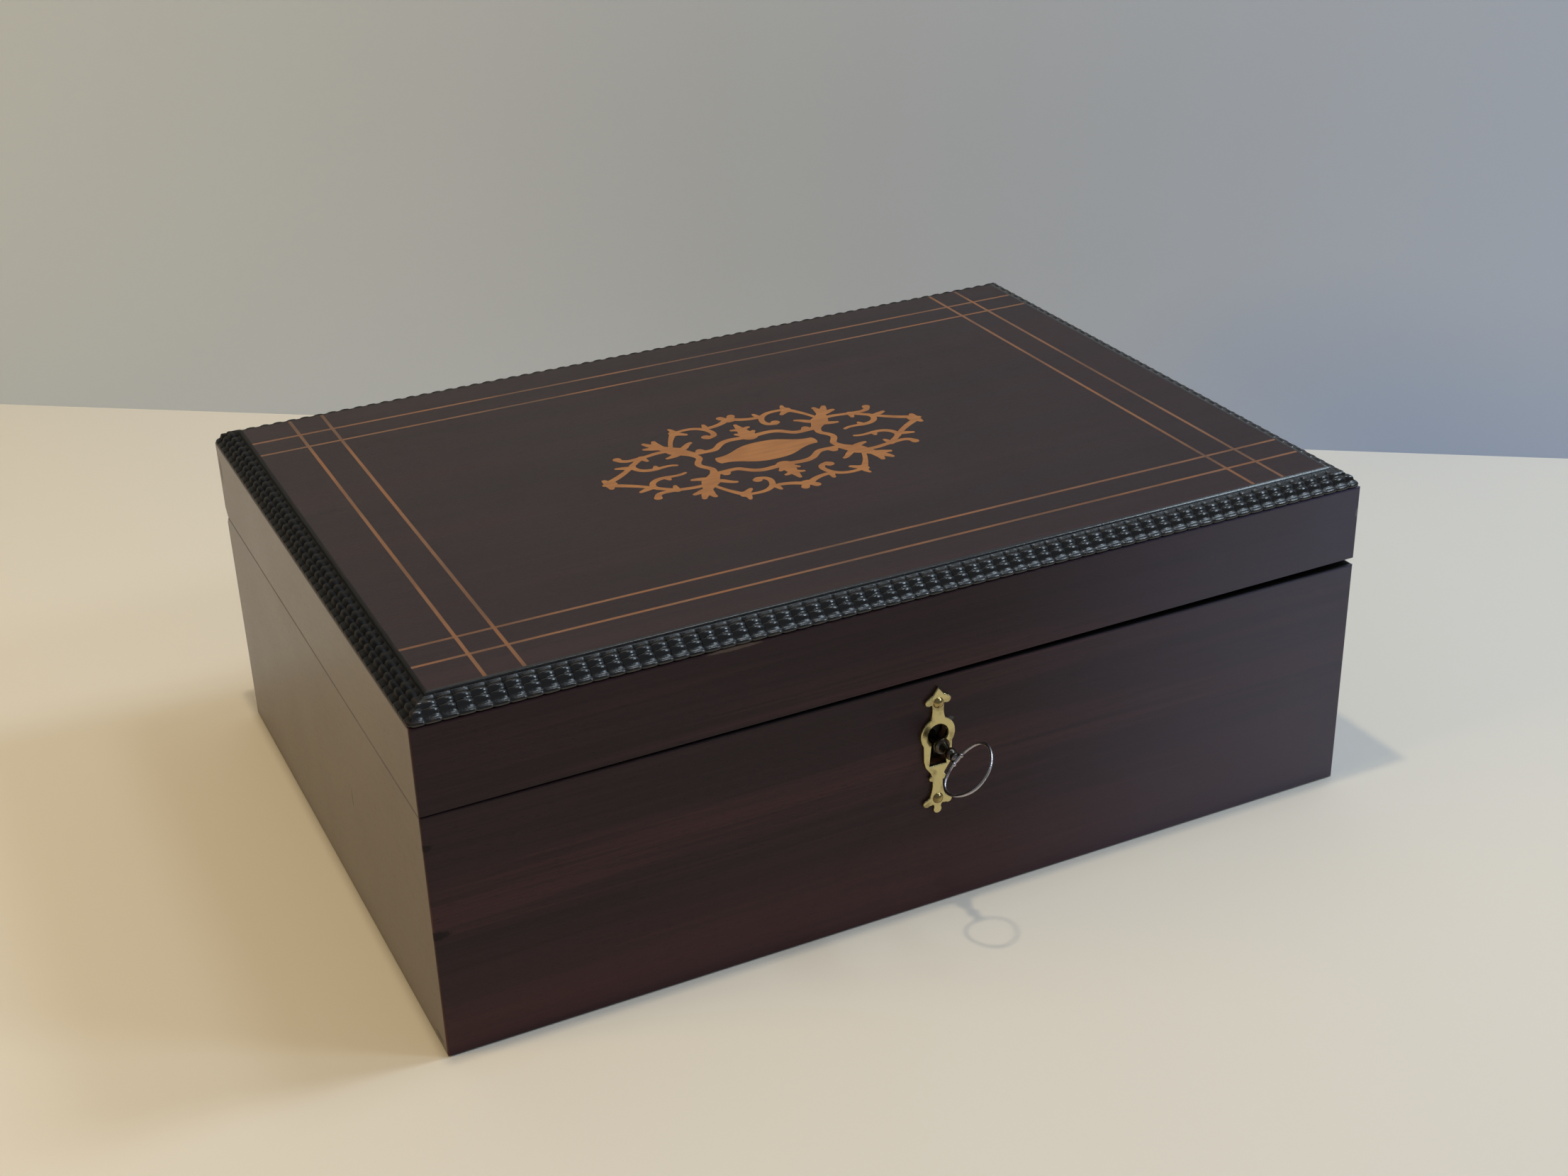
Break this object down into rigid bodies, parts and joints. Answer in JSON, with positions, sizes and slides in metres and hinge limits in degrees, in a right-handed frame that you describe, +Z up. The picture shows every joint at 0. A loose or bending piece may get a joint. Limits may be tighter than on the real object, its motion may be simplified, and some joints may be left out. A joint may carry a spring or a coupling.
{
  "type": "inlaid wooden box with hinged lid and lock",
  "caption": "Low rectangular wooden keepsake box in dark rosewood veneer: hinged lid with ripple-moulded edge, pale stringing and scroll marquetry, brass escutcheon and turning key.",
  "frame": {"origin": "middle of the underside, on the surface that the box stands on", "axes": "+X to the right along the front, -Y out of the front with the keyhole, +Z up"},
  "size_m": [0.28, 0.2223, 0.1011],
  "materials": {
    "rosewood": "satin",
    "ebonised": "gloss",
    "boxwood": "satin",
    "carcase": "matte",
    "lining": "matte",
    "polished_brass": "satin",
    "brass": "satin",
    "steel": "satin",
    "key_iron": "satin"
  },
  "bodies": {
    "base": {"base_front_veneer": "rosewood", "base_back_veneer": "rosewood", "base_left_veneer": "rosewood", "base_right_veneer": "rosewood", "base_front": "carcase", "base_back": "carcase", "base_left": "carcase", "base_right": "carcase", "bottom_board": "carcase", "base_lining": "lining", "escutcheon": "polished_brass", "escutcheon_pins": "polished_brass", "hinge_lower_left": "brass", "hinge_lower_right": "brass", "lock_plate": "brass", "lock_cap": "brass", "hinge_pin_left": "steel", "hinge_pin_right": "steel", "hinge_lower_screws": "steel", "lock_screws": "steel", "lock_spring": "steel", "key_post": "steel", "bolt_stud": "steel"},
    "lid": {"lid_front": "carcase", "lid_back": "carcase", "lid_left": "carcase", "lid_right": "carcase", "lid_top": "carcase", "lid_front_veneer": "rosewood", "lid_back_veneer": "rosewood", "lid_left_veneer": "rosewood", "lid_right_veneer": "rosewood", "top_veneer": "rosewood", "front_back_stringing": "boxwood", "side_stringing": "boxwood", "marquetry_scrolls": "boxwood", "marquetry_cartouche": "boxwood", "moulding_front": "ebonised", "moulding_back": "ebonised", "moulding_left": "ebonised", "moulding_right": "ebonised", "lid_lining": "lining", "strike_plate": "brass", "lock_loop": "brass", "strike_screws": "steel", "hinge_upper_left": "brass", "hinge_upper_right": "brass", "hinge_upper_screws": "steel"},
    "key": {"key": "key_iron"},
    "bolt": {"lock_bolt": "brass"}
  },
  "joints": [
    {"name": "lid_hinge", "type": "hinge", "parent": "base", "child": "lid", "pos_m": [0, 0.0964, 0.07175], "axis": [-1, 0, 0], "range_deg": [0, 100]},
    {"name": "key_turn", "type": "hinge", "parent": "base", "child": "key", "pos_m": [0.002, -0.1, 0.0522], "axis": [0, -1, 0], "range_deg": [0, 94]},
    {"name": "bolt_slide", "type": "slide", "parent": "base", "child": "bolt", "axis": [-1, 0, 0], "range_m": [0, 0.00744]}
  ],
  "couplings": [
    {"joint": "key_turn", "follows": "bolt_slide", "rad_per_m": 220.5}
  ]
}
